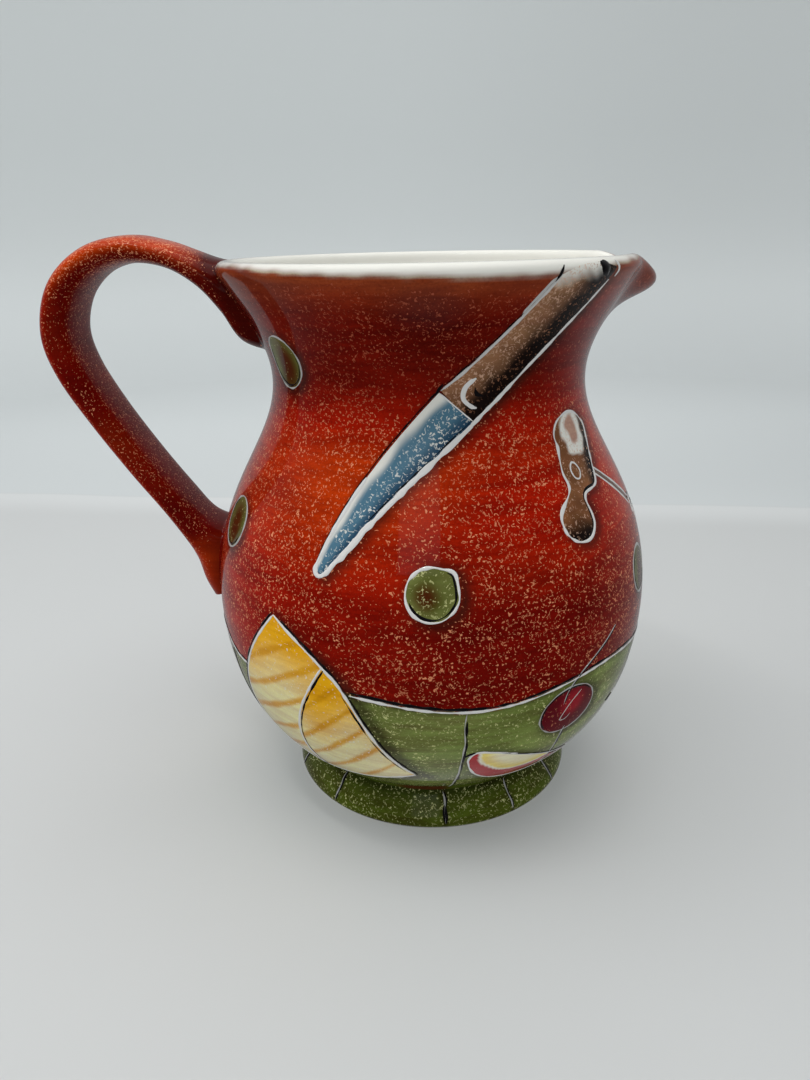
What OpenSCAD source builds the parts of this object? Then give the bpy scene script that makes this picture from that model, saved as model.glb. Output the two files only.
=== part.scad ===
// A glazed earthenware pitcher: a thrown round body, a small pressed-in pouring spout,
// a flared foot ring and a strap handle, each luted to the body with clay slip.
// +Z is up, the origin is the centre of the foot on the table, the handle points to -X
// and the spout to +X.

/* [Body] */
// Height of the rim above the table
rim_h = 190; // [175:1:200]
// Widest radius of the belly
belly_r = 77.6; // [74:0.2:82]
// Height of the widest part of the belly
belly_z = 76; // [70:1:82]
// Narrowest radius of the neck
neck_r = 53.4; // [50:0.2:58]
// Height of the narrowest part of the neck
neck_z = 152; // [148:1:156]
// Outer radius of the rolled lip
lip_r = 68.6; // [65:0.2:72]
// Thickness of the thrown wall
wall = 4.6; // [3.5:0.1:6]
// Thickness of the floor
floor_t = 6; // [5:0.5:9]

/* [Foot] */
// Outer radius of the foot on the table
foot_r = 53; // [50:0.5:56]
// Height of the foot, up to the underside of the body
foot_h = 15; // [12:0.5:18]
// Radius of the groove between the foot and the belly
groove_r = 46; // [43:0.5:49]
// Width of the foot ring where it stands
foot_w = 10; // [7:0.5:12]

/* [Spout] */
// How far the tip of the spout reaches beyond the round lip
spout_reach = 7; // [4:0.5:11]
// How far the lip dips at the tip of the spout
spout_dip = 6; // [1:0.5:8]
// Half of the angle that the spout takes out of the round lip
spout_half_angle = 21; // [16:1:28]

/* [Handle] */
// Scale of the width of the strap
strap_width_factor = 1; // [0.8:0.05:1.15]
// Squareness of the strap's section, where 2 is an ellipse
strap_squareness = 2.6; // [2:0.1:4]

/* [Slip joints] */
// Thickness of the slip between the body and what is luted to it
slip_t = 0.8; // [0.5:0.1:1.2]
// How far the squeezed-out slip stands around a handle root
slip_rim = 1.6; // [0.8:0.2:2.4]

/* [Hidden] */
eps = 0.01;
curve_steps = 16;
round_fn = 128;
slot_fn = 48;

// Glaze colours
red = [0.60, 0.13, 0.06];
dark_red = [0.45, 0.07, 0.04];
green = [0.36, 0.40, 0.16];
clay = [0.86, 0.80, 0.72];

// Points of a cubic curve from a to d with the handles b and c, without its last point
function bezier(a, b, c, d, n = curve_steps) =
    [for (i = [0 : n - 1]) let (t = i / n)
        pow(1 - t, 3) * a + 3 * t * pow(1 - t, 2) * b + 3 * t * t * (1 - t) * c + pow(t, 3) * d];
function smooth_step(t) = t * t * (3 - 2 * t);
function clamp01(t) = min(max(t, 0), 1);
function reversed(list) = [for (i = [len(list) - 1 : -1 : 0]) list[i]];

// Handles of the outline's curves: how far each curve runs on before it bends
underside_run = 15;   // outwards from the groove
underside_rise = 6;   // upwards over the same run
below_belly = 35;     // down from the widest part
above_belly = 39;     // up from the widest part
below_neck = 22;      // down from the narrowest part
above_neck = 13;      // up from the narrowest part
flare_drop = 10;      // down from the lip
flare_lean = 6;       // inwards over the same drop
// Inside, the floor is flatter and the wall turns into it later
floor_run = 6;        // outwards past the groove
inside_below_belly = 30;
inside_lean = 5;
// The rolled lip
lip_h = 4;
lip_side = 2.2;       // how far its sides run up
lip_bulge = 0.8;      // how far its outer side leans outwards
lip_inner_bulge = 0.4;
lip_round = 0.6;      // where its outer side turns over
lip_inner_round = 1;
lip_narrower = 1;     // how much less than the wall the inside follows the lip
lip_steps = 6;
lip_inner_r = lip_r - wall - lip_narrower;
lip_crest_r = (lip_r + lip_inner_r) / 2;
inner_floor_z = foot_h + floor_t;

// Curves that the outside and the inside share, from a lower to an upper radius
function shoulder(belly, neck) =
    bezier([belly, belly_z], [belly, belly_z + above_belly],
           [neck, neck_z - below_neck], [neck, neck_z]);
function flare(neck, lip, lean) =
    bezier([neck, neck_z], [neck, neck_z + above_neck],
           [lip - lean, rim_h - lip_h - flare_drop], [lip, rim_h - lip_h]);
function rolled_side(r, bulge, turn, crest_z) =
    bezier([r, rim_h - lip_h], [r + bulge, rim_h - lip_h + lip_side],
           [turn, crest_z], [lip_crest_r, crest_z], lip_steps);

// The outer outline as [radius, height], from the underside to the neck and on to the lip.
// grow moves it outwards, for the slip that lies on it.
function belly_curve(grow = 0) = concat(
    bezier([groove_r + grow, foot_h], [groove_r + underside_run + grow, foot_h + underside_rise],
           [belly_r + grow, belly_z - below_belly], [belly_r + grow, belly_z]),
    shoulder(belly_r + grow, neck_r + grow));
function flare_curve(grow = 0) = flare(neck_r + grow, lip_r + grow, flare_lean);
function lip_curve(grow = 0) =
    rolled_side(lip_r + grow, lip_bulge, lip_r - lip_round + grow, rim_h + grow);

// The inner outline, from the floor to the neck and on to the lip
inner_belly = concat(
    bezier([0, inner_floor_z], [groove_r + floor_run, inner_floor_z],
           [belly_r - wall, belly_z - inside_below_belly], [belly_r - wall, belly_z]),
    shoulder(belly_r - wall, neck_r - wall));
inner_flare = flare(neck_r - wall, lip_inner_r, inside_lean);
lip_inner = rolled_side(lip_inner_r, lip_inner_bulge, lip_inner_r + lip_inner_round, rim_h);

// Solid of revolution that fills the pitcher out to its outer surface
module filled_body(grow = 0) {
    above = rim_h + belly_r;
    rotate_extrude($fn = round_fn)
        polygon(concat([[0, foot_h - grow]], belly_curve(grow), flare_curve(grow), lip_curve(grow),
                       [[lip_crest_r, rim_h + grow], [lip_crest_r, above], [0, above]]));
}

module vessel_body() {
    color(red) difference() {
        rotate_extrude($fn = round_fn)
            polygon(concat([[0, foot_h]], belly_curve(), flare_curve(), lip_curve(),
                           [[lip_crest_r, rim_h]], reversed(lip_inner),
                           reversed(inner_flare), reversed(inner_belly)));
        spout_notch();
    }
}

// The wedge that the spout takes out of the neck and lip
module spout_notch() {
    reach = 2 * lip_r;
    side = reach * tan(spout_half_angle);
    translate([0, 0, neck_z]) linear_extrude(rim_h)
        polygon([[0, 0], [reach, -side], [reach, side]]);
}

// Wall of the spout as a closed section, up the outside and down the inside
spout_section = concat(flare_curve(), lip_curve(), [[lip_crest_r, rim_h]],
                       reversed(lip_inner), reversed(inner_flare));
spout_stations = 28;
spout_late = 2.5;     // how late the push sets in on the way up

// Where a point of the section goes at the angle a: pushed out and dipped towards the tip
function spout_push(a) = pow(cos(90 * a / spout_half_angle), 2);
function spout_rise(z) = clamp01((z - neck_z) / (rim_h - lip_h - neck_z));
function spout_point(p, a) =
    let (push = spout_push(a) * smooth_step(pow(spout_rise(p[1]), spout_late)),
         r = p[0] + spout_reach * push)
    [r * cos(a), r * sin(a), p[1] - spout_dip * push];

module spout() {
    n = len(spout_section);
    last = spout_stations * n;
    pairs = floor(n / 2);
    points = [for (i = [0 : spout_stations], p = spout_section)
        spout_point(p, spout_half_angle * (2 * i / spout_stations - 1))];
    walls = [for (i = [0 : spout_stations - 1], k = [0 : n - 1])
        let (a = i * n + k, b = i * n + (k + 1) % n) each [[a, b, b + n], [a, b + n, a + n]]];
    ends = [for (k = [0 : pairs - 1]) let (m = n - 1 - k)
        each [[k, m, m - 1], [k, m - 1, k + 1],
              [last + k, last + m - 1, last + m], [last + k, last + k + 1, last + m - 1]]];
    color(red) polyhedron(points, concat(walls, [for (f = ends)
        if (f[0] != f[1] && f[1] != f[2] && f[0] != f[2]) f]));
}

// Foot: a flared ring that stands on a rounded edge
foot_edge = 2.2;      // height of the rounded edge
foot_edge_in = 2.5;   // how far in the edge meets the table
foot_edge_out = 1;    // how far in the edge's curve runs along the table
foot_edge_up = 0.8;   // from what height it runs up the side
foot_inner_rise = 1.5;
foot_inner_in = 2;
foot_flare_in = 0.4;  // how far the flare leans in over its straighter part
foot_flare_z = 6.5;   // height of that part
foot_neck_out = 1;    // where the flare turns up into the groove
foot_neck_z = 8.5;
foot_seat_w = 8;      // width of the seat under the body
module foot_ring() {
    seat_z = foot_h - slip_t;
    color(green) rotate_extrude($fn = round_fn)
        polygon(concat([[foot_r - foot_w, foot_inner_rise], [foot_r - foot_w + foot_inner_in, 0]],
                       bezier([foot_r - foot_edge_in, 0], [foot_r - foot_edge_out, 0],
                              [foot_r, foot_edge_up], [foot_r, foot_edge], lip_steps),
                       bezier([foot_r, foot_edge], [foot_r - foot_flare_in, foot_flare_z],
                              [groove_r + foot_neck_out, foot_neck_z], [groove_r, seat_z]),
                       [[groove_r, seat_z], [groove_r - foot_seat_w, seat_z]]));
}

// Ring of slip between the foot and the body, squeezed out a little into the groove
slip_squeeze = 0.3;
slip_short = 0.5;     // how far short of the seat's inner edge it stops
module foot_joint() {
    color(clay) translate([0, 0, foot_h - slip_t]) difference() {
        cylinder(h = slip_t, r = groove_r + slip_squeeze, $fn = round_fn);
        translate([0, 0, -eps])
            cylinder(h = slip_t + 2 * eps, r = groove_r - foot_seat_w + slip_short,
                     $fn = round_fn);
    }
}

// Stations of the strap: [x, z, direction of its outer face in degrees, thickness, width].
// They run from the upper root over the top and down to the lower root.
handle_stations = [
    [-56.0, 174.5, 98, 28, 29],
    [-64.0, 177.0, 98, 26, 29],
    [-69.0, 181.9, 100, 18.6, 29],
    [-76.2, 187.7, 102, 12, 29],
    [-85.5, 192.2, 99, 8.8, 29],
    [-97.0, 193.9, 92, 8.8, 29],
    [-109.2, 190.6, 120, 10, 29],
    [-118.8, 181.6, 150, 11.2, 29],
    [-122.8, 168.5, 180, 11.2, 29],
    [-120.2, 155.8, 195, 11, 28],
    [-112.1, 140.1, 210, 10.4, 27],
    [-101.2, 122.7, 213, 10, 27],
    [-91.3, 108.4, 213, 10, 27],
    [-84.4, 98.6, 212, 11.5, 27.5],
    [-77.4, 92.2, 210, 19.5, 28],
    [-72.4, 84.5, 207, 26, 28],
    [-70.3, 77.0, 206, 25, 23]];
stations_between = 4;
section_points = 28;

// Smooth values between the stations, by a Catmull-Rom curve through them
function station(i) = handle_stations[min(max(i, 0), len(handle_stations) - 1)];
function strap_at(i, t) =
    let (a = station(i - 1), b = station(i), c = station(i + 1), d = station(i + 2))
    0.5 * (2 * b + (c - a) * t + (2 * a - 5 * b + 4 * c - d) * t * t
           + (3 * b - a - 3 * c + d) * t * t * t);
strap = concat([for (i = [0 : len(handle_stations) - 2], k = [0 : stations_between - 1])
                    strap_at(i, k / stations_between)],
               [station(len(handle_stations) - 1)]);

// A rounded, slightly squared section in the strap's thickness and width
function signed_power(v, p) = sign(v) * pow(abs(v), p);
function strap_ring(s) = [for (k = [0 : section_points - 1])
    let (a = 360 * k / section_points,
         u = signed_power(cos(a), 2 / strap_squareness) * s[3] / 2,
         v = signed_power(sin(a), 2 / strap_squareness) * s[4] / 2 * strap_width_factor)
    [s[0] + u * cos(s[2]), v, s[1] + u * sin(s[2])]];

// The whole strap, with both roots running on into the body
module strap_solid() {
    n = section_points;
    rings = len(strap);
    walls = [for (i = [0 : rings - 2], k = [0 : n - 1])
        let (a = i * n + k, b = i * n + (k + 1) % n) each [[a, b, b + n], [a, b + n, a + n]]];
    ends = [[for (k = [n - 1 : -1 : 0]) k], [for (k = [0 : n - 1]) (rings - 1) * n + k]];
    polyhedron([for (s = strap) each strap_ring(s)], concat(walls, ends));
}

module handle() {
    color(red) difference() {
        strap_solid();
        filled_body(slip_t);
    }
}

// Slip under one root of the handle: the part of a thin coat on the body that lies in a
// rounded prism, given by the root's height above the table, its height and its width
module slip_pad(z, height, width) {
    color(dark_red) intersection() {
        difference() {
            filled_body(slip_t);
            filled_body();
        }
        translate([-belly_r - foot_w, 0, z]) rotate([0, 90, 0]) linear_extrude(belly_r)
            rounded_slot(height + 2 * slip_rim, width + 2 * slip_rim);
    }
}

// A slot with round ends, a along X and b along Y
module rounded_slot(a, b) {
    r = min(a, b) / 2;
    hull() for (side = [-1, 1])
        translate(side * [a / 2 - r, b / 2 - r]) circle(r, $fn = slot_fn);
}

// Where the strap meets the body: [height above the table, height of the root, width]
upper_root = [175.5, 27, 27];
lower_root = [87.5, 34, 26];
module upper_handle_joint() slip_pad(upper_root[0], upper_root[1], upper_root[2]);
module lower_handle_joint() slip_pad(lower_root[0], lower_root[1], lower_root[2]);

vessel_body();
spout();
foot_ring();
foot_joint();
handle();
upper_handle_joint();
lower_handle_joint();
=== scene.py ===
"""Looks of a painted earthenware pitcher: clay forms, glaze, painted picnic pattern, studio.

Lengths are in millimetres here and become metres when a mesh is made. A place on the
pitcher is (around, height): degrees from the front (-Y) towards the spout (+X), and
millimetres above the table. Laid flat, it is millimetres to the right and up the wall.
"""
import math

import bpy
import numpy as np
from mathutils import Matrix, Vector
from mathutils.geometry import delaunay_2d_cdt
from mathutils.kdtree import KDTree


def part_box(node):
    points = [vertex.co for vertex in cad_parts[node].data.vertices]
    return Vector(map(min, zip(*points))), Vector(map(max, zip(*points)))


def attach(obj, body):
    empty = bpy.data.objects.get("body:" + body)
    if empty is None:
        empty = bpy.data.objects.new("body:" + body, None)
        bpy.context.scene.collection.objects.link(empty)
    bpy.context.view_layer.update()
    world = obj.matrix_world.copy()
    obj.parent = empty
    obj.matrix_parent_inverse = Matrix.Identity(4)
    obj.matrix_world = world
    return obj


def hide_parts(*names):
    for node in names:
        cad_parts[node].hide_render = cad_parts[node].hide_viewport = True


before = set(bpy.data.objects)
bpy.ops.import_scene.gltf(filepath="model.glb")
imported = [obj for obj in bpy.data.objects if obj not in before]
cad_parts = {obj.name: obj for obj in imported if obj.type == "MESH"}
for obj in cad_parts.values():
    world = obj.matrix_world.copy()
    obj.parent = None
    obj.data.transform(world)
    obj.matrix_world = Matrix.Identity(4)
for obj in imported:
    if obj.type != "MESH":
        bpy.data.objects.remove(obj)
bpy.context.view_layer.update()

MM = 0.001

# ---------------------------------------------------------------- sizes
_, body_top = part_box("vessel_body")
_, foot_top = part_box("foot_ring")
joint_low, joint_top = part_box("foot_joint")
RIM_H = body_top.z / MM
BELLY_R = body_top.y / MM
FOOT_R = foot_top.x / MM
FOOT_H = joint_top.z / MM
FOOT_SEAT_Z = joint_low.z / MM
# The design's other driving sizes
BELLY_Z = 76.0
NECK_R = 53.4
NECK_Z = 152.0
LIP_R = 68.6
WALL = 4.6
FLOOR_T = 6.0
GROOVE_R = 46.0
FOOT_W = 10.0
FOOT_EDGE, FOOT_EDGE_IN = 2.2, 2.5
SEAT_W = 8.0             # width of the foot's seat under the body
SLIP_W = 7.5             # how far in the slip ring under the body reaches
FILLET_LOW, FILLET_TOP = 12.4, 16.4
FILLET_BACK = 1.5        # how far the groove's fillet reaches into the clay
SPOUT_HALF = 21.0
SPOUT_REACH = 7.0
SPOUT_DIP = 6.0
SPOUT_LATE = 2.5
LIP_H = 4.0
LIP_INNER_R = LIP_R - WALL - 1.0
LIP_CREST_R = (LIP_R + LIP_INNER_R) / 2
SPOUT_AT = 90.0          # the spout points to +X
HANDLE_AT = 270.0


# ---------------------------------------------------------------- curves
def bezier(a, b, c, d, n=60):
    """n points of a cubic curve from a towards d, without d itself."""
    t = np.linspace(0, 1, n, endpoint=False)[:, None]
    a, b, c, d = (np.array(p, float) for p in (a, b, c, d))
    return (1 - t) ** 3 * a + 3 * t * (1 - t) ** 2 * b + 3 * t * t * (1 - t) * c + t**3 * d


def lengths(points):
    """Length along a polyline, from its first point to each point."""
    steps = np.linalg.norm(np.diff(points, axis=0), axis=1)
    return np.concatenate([[0], np.cumsum(steps)])


def resample(points, count):
    """count + 1 points evenly spaced along a polyline."""
    along = lengths(points)
    want = np.linspace(0, along[-1], count + 1)
    return np.stack([np.interp(want, along, points[:, k]) for k in range(points.shape[1])], 1)


def spaced(points, step):
    return resample(points, max(2, int(round(lengths(points)[-1] / step))))


def catmull_rom(points, per_span=8, closed=False):
    """A smooth curve through a few points."""
    p = np.array(points, float)
    n = len(p)
    out = []
    for i in range(n if closed else n - 1):
        if closed:
            a, b, c, d = (p[(i + k) % n] for k in (-1, 0, 1, 2))
        else:
            a, b, c, d = (p[min(max(i + k, 0), n - 1)] for k in (-1, 0, 1, 2))
        t = np.linspace(0, 1, per_span, endpoint=False)[:, None]
        out.append(0.5 * (2 * b + (c - a) * t + (2 * a - 5 * b + 4 * c - d) * t**2
                          + (3 * b - a - 3 * c + d) * t**3))
    out.append(p[:1] if closed else p[-1:])
    return np.concatenate(out)


def smooth_step(t):
    t = np.clip(t, 0, 1)
    return t * t * (3 - 2 * t)


def between(low, high, value):
    """0 below low, 1 above high, smooth between."""
    return smooth_step((value - low) / (high - low))


def half_turns(angle):
    """The same direction between -180 and 180 degrees."""
    return (angle + 180) % 360 - 180


def shoulder(belly, neck):
    return bezier((belly, BELLY_Z), (belly, BELLY_Z + 39), (neck, NECK_Z - 22), (neck, NECK_Z))


def flare(neck, lip, lean):
    return bezier((neck, NECK_Z), (neck, NECK_Z + 13), (lip - lean, RIM_H - LIP_H - 10),
                  (lip, RIM_H - LIP_H))


def rolled_side(r, bulge, turn):
    return bezier((r, RIM_H - LIP_H), (r + bulge, RIM_H - 1.8), (turn, RIM_H),
                  (LIP_CREST_R, RIM_H))


outer_low = np.concatenate([
    bezier((GROOVE_R, FOOT_H), (GROOVE_R + 15, FOOT_H + 6),
           (BELLY_R, BELLY_Z - 35), (BELLY_R, BELLY_Z)),
    shoulder(BELLY_R, NECK_R), [(NECK_R, NECK_Z)]])
outer_flare = np.concatenate([flare(NECK_R, LIP_R, 6), [(LIP_R, RIM_H - LIP_H)]])
outer_lip = np.concatenate([rolled_side(LIP_R, 0.8, LIP_R - 0.6), [(LIP_CREST_R, RIM_H)]])
inner_lip = np.concatenate([rolled_side(LIP_INNER_R, 0.4, LIP_INNER_R + 1),
                            [(LIP_CREST_R, RIM_H)]])[::-1]
inner_flare = np.concatenate([flare(NECK_R - WALL, LIP_INNER_R, 5),
                              [(LIP_INNER_R, RIM_H - LIP_H)]])[::-1]
inner_low = np.concatenate([
    bezier((0, FOOT_H + FLOOR_T), (GROOVE_R + 6, FOOT_H + FLOOR_T),
           (BELLY_R - WALL, BELLY_Z - 30), (BELLY_R - WALL, BELLY_Z)),
    shoulder(BELLY_R - WALL, NECK_R - WALL), [(NECK_R - WALL, NECK_Z)]])[::-1]
foot_outer = np.concatenate([
    bezier((FOOT_R - FOOT_EDGE_IN, 0), (FOOT_R - 1, 0), (FOOT_R, 0.8), (FOOT_R, FOOT_EDGE), 20),
    bezier((FOOT_R, FOOT_EDGE), (FOOT_R - 0.4, 6.5), (GROOVE_R + 1, 8.5),
           (GROOVE_R, FOOT_SEAT_Z)),
    [(GROOVE_R, FOOT_SEAT_Z)]])


def spout_push(around, z):
    """From 0 to 1, how much the spout pushes a point of the wall out and down."""
    turn = np.clip(np.abs(around - SPOUT_AT) / SPOUT_HALF, 0, 1)
    rise = np.clip((z - NECK_Z) / (RIM_H - LIP_H - NECK_Z), 0, 1)
    return np.cos(np.pi / 2 * turn) ** 2 * smooth_step(rise**SPOUT_LATE)


def place(around, r, z):
    """Points in space, in millimetres, with the spout's push."""
    push = spout_push(around, z)
    a = np.radians(around)
    r = r + SPOUT_REACH * push
    return np.stack([r * np.sin(a), -r * np.cos(a), z - SPOUT_DIP * push], -1)


class Skin:
    """The outside of a turned form, which lines and shapes are painted on."""

    def __init__(self, outline):
        self.outline = outline
        self.along = lengths(outline)
        self.slope = np.gradient(outline, self.along, axis=0)

    def radius(self, z):
        return np.interp(z, self.outline[:, 1], self.outline[:, 0])

    def length(self, z):
        return np.interp(z, self.outline[:, 1], self.along)

    def lay_flat(self, path, centre):
        """Millimetres right of and above a centre."""
        path = np.asarray(path, float)
        right = np.radians(path[:, 0] - centre[0]) * self.radius(path[:, 1])
        return np.stack([right, self.length(path[:, 1]) - self.length(centre[1])], 1)

    def roll_up(self, flat, centre):
        """The (around, height) of flat points."""
        z = np.interp(flat[:, 1] + self.length(centre[1]), self.along, self.outline[:, 1])
        return np.stack([centre[0] + np.degrees(flat[:, 0] / self.radius(z)), z], 1)

    def on(self, path, lift):
        """Points in space, lifted off the skin."""
        around, z = path[:, 0], path[:, 1]
        out_r = np.interp(z, self.outline[:, 1], self.slope[:, 1])
        out_z = -np.interp(z, self.outline[:, 1], self.slope[:, 0])
        base = place(around, self.radius(z), z)
        a = np.radians(around)
        return base + np.stack([out_r * np.sin(a), -out_r * np.cos(a), out_z], -1) \
            * np.reshape(lift, (-1, 1))


wall = Skin(np.concatenate([outer_low[:-1], outer_flare[:-1], outer_lip]))
foot = Skin(foot_outer)


# ---------------------------------------------------------------- colours
def srgb(r, g, b):
    """Linear light from screen values of 0 to 255."""
    c = np.array([r, g, b]) / 255
    return np.where(c <= 0.04045, c / 12.92, ((c + 0.055) / 1.055) ** 2.4)


ORANGE = srgb(214, 66, 10)
RED = srgb(172, 22, 3)
DEEP_RED = srgb(116, 8, 2)
MAROON = srgb(76, 8, 3)
BROWN = srgb(146, 60, 34)
GREEN = srgb(132, 132, 76)
DARK_GREEN = srgb(74, 78, 24)
FOOT_GREEN = srgb(84, 86, 26)
SHADOW = srgb(40, 24, 18)
WHITE = srgb(240, 238, 230)
LINE_WHITE = srgb(232, 230, 228)
LINE_BLACK = srgb(20, 18, 20)
PINK = srgb(244, 160, 116)
DULL_PINK = srgb(176, 88, 62)
PALE_GREEN = srgb(216, 216, 150)
POOL = srgb(74, 36, 16)
BLADE = srgb(84, 124, 146)
BLADE_DARK = srgb(36, 66, 92)
TAN = srgb(146, 100, 74)
PALE_TAN = srgb(214, 174, 148)
GRIP_DARK = srgb(26, 16, 14)
HORN = srgb(146, 92, 60)
CHEESE = srgb(240, 168, 20)
CHEESE_PALE = srgb(238, 220, 172)
CHEESE_STRIPE = srgb(218, 146, 12)
CHERRY = srgb(160, 24, 38)
CHERRY_DARK = srgb(100, 12, 24)
APPLE_SKIN = srgb(176, 38, 44)
APPLE_FLESH = srgb(248, 236, 204)
APPLE_YELLOW = srgb(244, 214, 120)
OLIVE_BROWN = srgb(78, 32, 10)
KNOT = srgb(188, 140, 126)
WORM_GREY = srgb(112, 84, 74)
BARE_CLAY = srgb(226, 214, 196)


def mix(a, b, t):
    """From colour a to colour b, by t for each point."""
    t = np.reshape(np.clip(t, 0, 1), (-1, 1))
    return a + (b - a) * t


def drift(points, size, seed):
    """Slow change over space, about -1 to 1, with features of about the given size."""
    rng = np.random.default_rng(seed)
    total = np.zeros(len(points))
    for _ in range(10):
        way = rng.normal(size=3)
        way *= 2 * np.pi / size / np.linalg.norm(way) * rng.uniform(0.5, 1.2)
        total += np.sin(points @ way + rng.uniform(0, 2 * np.pi))
    return total / 5


# ---------------------------------------------------------------- meshes
def new_mesh(name, points, faces, material, sharp=40):
    mesh = bpy.data.meshes.new(name)
    mesh.from_pydata((np.asarray(points) * MM).tolist(), [], faces)
    mesh.validate()
    mesh.shade_smooth()
    mesh.set_sharp_from_angle(angle=math.radians(sharp))
    mesh.materials.append(material)
    obj = bpy.data.objects.new(name, mesh)
    bpy.context.scene.collection.objects.link(obj)
    return obj


def vertex_places(obj):
    """A mesh's vertices in millimetres."""
    flat = np.empty(len(obj.data.vertices) * 3)
    obj.data.vertices.foreach_get("co", flat)
    return flat.reshape(-1, 3) / MM


def set_paint(obj, colour, tint, fleck):
    """Colour, colour of the flecks and amount of flecks at each vertex."""
    count = len(obj.data.vertices)
    for name, values in (("paint", colour), ("tint", tint)):
        attribute = obj.data.color_attributes.new(name, "FLOAT_COLOR", "POINT")
        full = np.ones((count, 4), np.float32)
        full[:, :3] = values
        attribute.data.foreach_set("color", full.ravel())
    attribute = obj.data.attributes.new("fleck", "FLOAT", "POINT")
    attribute.data.foreach_set("value", np.broadcast_to(fleck, count).astype(np.float32))


class Shell:
    """Collects rows of points around the pitcher and the faces between them."""

    def __init__(self):
        self.around, self.r, self.z, self.faces = [], [], [], []

    def row(self, around, r, z):
        start = len(self.around)
        self.around += list(around)
        self.r += [r] * len(around)
        self.z += [z] * len(around)
        return list(range(start, start + len(around)))

    def join(self, low, high, wrap):
        n = len(low)
        for k in range(n if wrap else n - 1):
            j = (k + 1) % n
            self.faces.append((low[k], low[j], high[j], high[k]))

    def fan(self, row, z, flip=False):
        centre = self.row([0.0], 0.0, z)[0]
        for k in range(len(row)):
            pair = (row[k], row[(k + 1) % len(row)])
            self.faces.append((pair[1], pair[0], centre) if flip else (*pair, centre))

    def build(self, name, material):
        points = place(np.array(self.around), np.array(self.r), np.array(self.z))
        return new_mesh(name, points, self.faces, material)


STEP_AROUND = 0.75
upper_section = np.concatenate([
    resample(outer_flare, 28)[1:-1], resample(outer_lip, 8), resample(inner_lip, 6)[1:],
    resample(inner_flare, 10)[1:-1]])


def make_body(material):
    shell = Shell()
    around = np.arange(0, 360, STEP_AROUND)
    columns = len(around)
    low = [shell.row(around, r, z) for r, z in resample(outer_low, 120)]
    inside = [shell.row(around, r, z) for r, z in resample(inner_low, 26)[:-1]]
    for rows in (low, inside):
        for a, b in zip(rows[:-1], rows[1:]):
            shell.join(a, b, True)
    # Above the neck, rows run from one side of the spout round the back to the other side
    first = int(round((SPOUT_AT + SPOUT_HALF) / STEP_AROUND))
    last = int(round((SPOUT_AT - SPOUT_HALF) / STEP_AROUND)) + columns
    kept = [k % columns for k in range(first, last + 1)]
    upper = [[low[-1][k] for k in kept]]
    upper += [shell.row(around[kept], r, z) for r, z in upper_section]
    upper += [[inside[0][k] for k in kept]]
    for a, b in zip(upper[:-1], upper[1:]):
        shell.join(a, b, False)
    # The cut faces beside the spout, and the cut at the neck under it
    shell.faces.append(tuple(row[0] for row in upper))
    shell.faces.append(tuple(row[-1] for row in upper[::-1]))
    notch = [k % columns for k in range(last, first + columns + 1)]
    shell.join([low[-1][k] for k in notch], [inside[0][k] for k in notch], False)
    shell.fan(inside[-1], FOOT_H + FLOOR_T)
    shell.fan(low[0], FOOT_H, flip=True)
    return shell.build("vessel_body_glazed", material)


def make_spout(material):
    shell = Shell()
    around = np.linspace(SPOUT_AT - SPOUT_HALF, SPOUT_AT + SPOUT_HALF, 57)
    section = np.concatenate([[(NECK_R, NECK_Z)], upper_section, [(NECK_R - WALL, NECK_Z)]])
    rows = [shell.row(around, r, z) for r, z in section]
    for a, b in zip(rows, rows[1:] + rows[:1]):
        shell.join(a, b, False)
    shell.faces.append(tuple(row[0] for row in rows))
    shell.faces.append(tuple(row[-1] for row in rows[::-1]))
    return shell.build("spout_glazed", material)


def make_turned(name, section, material, columns=360):
    """A closed section turned round the pitcher's axis."""
    shell = Shell()
    around = np.arange(columns) * 360 / columns
    rows = [shell.row(around, r, z) for r, z in section]
    for a, b in zip(rows, rows[1:] + rows[:1]):
        shell.join(a, b, True)
    return shell.build(name, material)


def make_foot(material):
    inner_r = FOOT_R - FOOT_W
    inner = [(GROOVE_R - SEAT_W, FOOT_SEAT_Z), (inner_r - 1, 6), (inner_r, 1.5),
             (inner_r + 0.7, 0.4), (inner_r + 2, 0)]
    section = np.concatenate([resample(foot_outer, 28), inner])
    return make_turned("foot_ring_glazed", section, material, columns=480)


def make_foot_joint(material):
    """Glaze that fills the corner of the groove, and the slip ring behind it."""
    on_foot = (foot.radius(FILLET_LOW) + 0.03, FILLET_LOW)
    on_body = (wall.radius(FILLET_TOP) + 0.03, FILLET_TOP)
    corner = (GROOVE_R + 0.4, FOOT_H - 0.4)
    back_r, inner_r = GROOVE_R - FILLET_BACK, GROOVE_R - SLIP_W
    section = np.concatenate([
        [(inner_r, FOOT_SEAT_Z), (back_r, FOOT_SEAT_Z), (back_r, FILLET_LOW)],
        bezier(on_foot, corner, corner, on_body, 10), [on_body],
        [(GROOVE_R - 0.5, FOOT_H + 1), (back_r, FOOT_H), (inner_r, FOOT_H)]])
    return make_turned("foot_joint_glazed", section, material)


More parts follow.
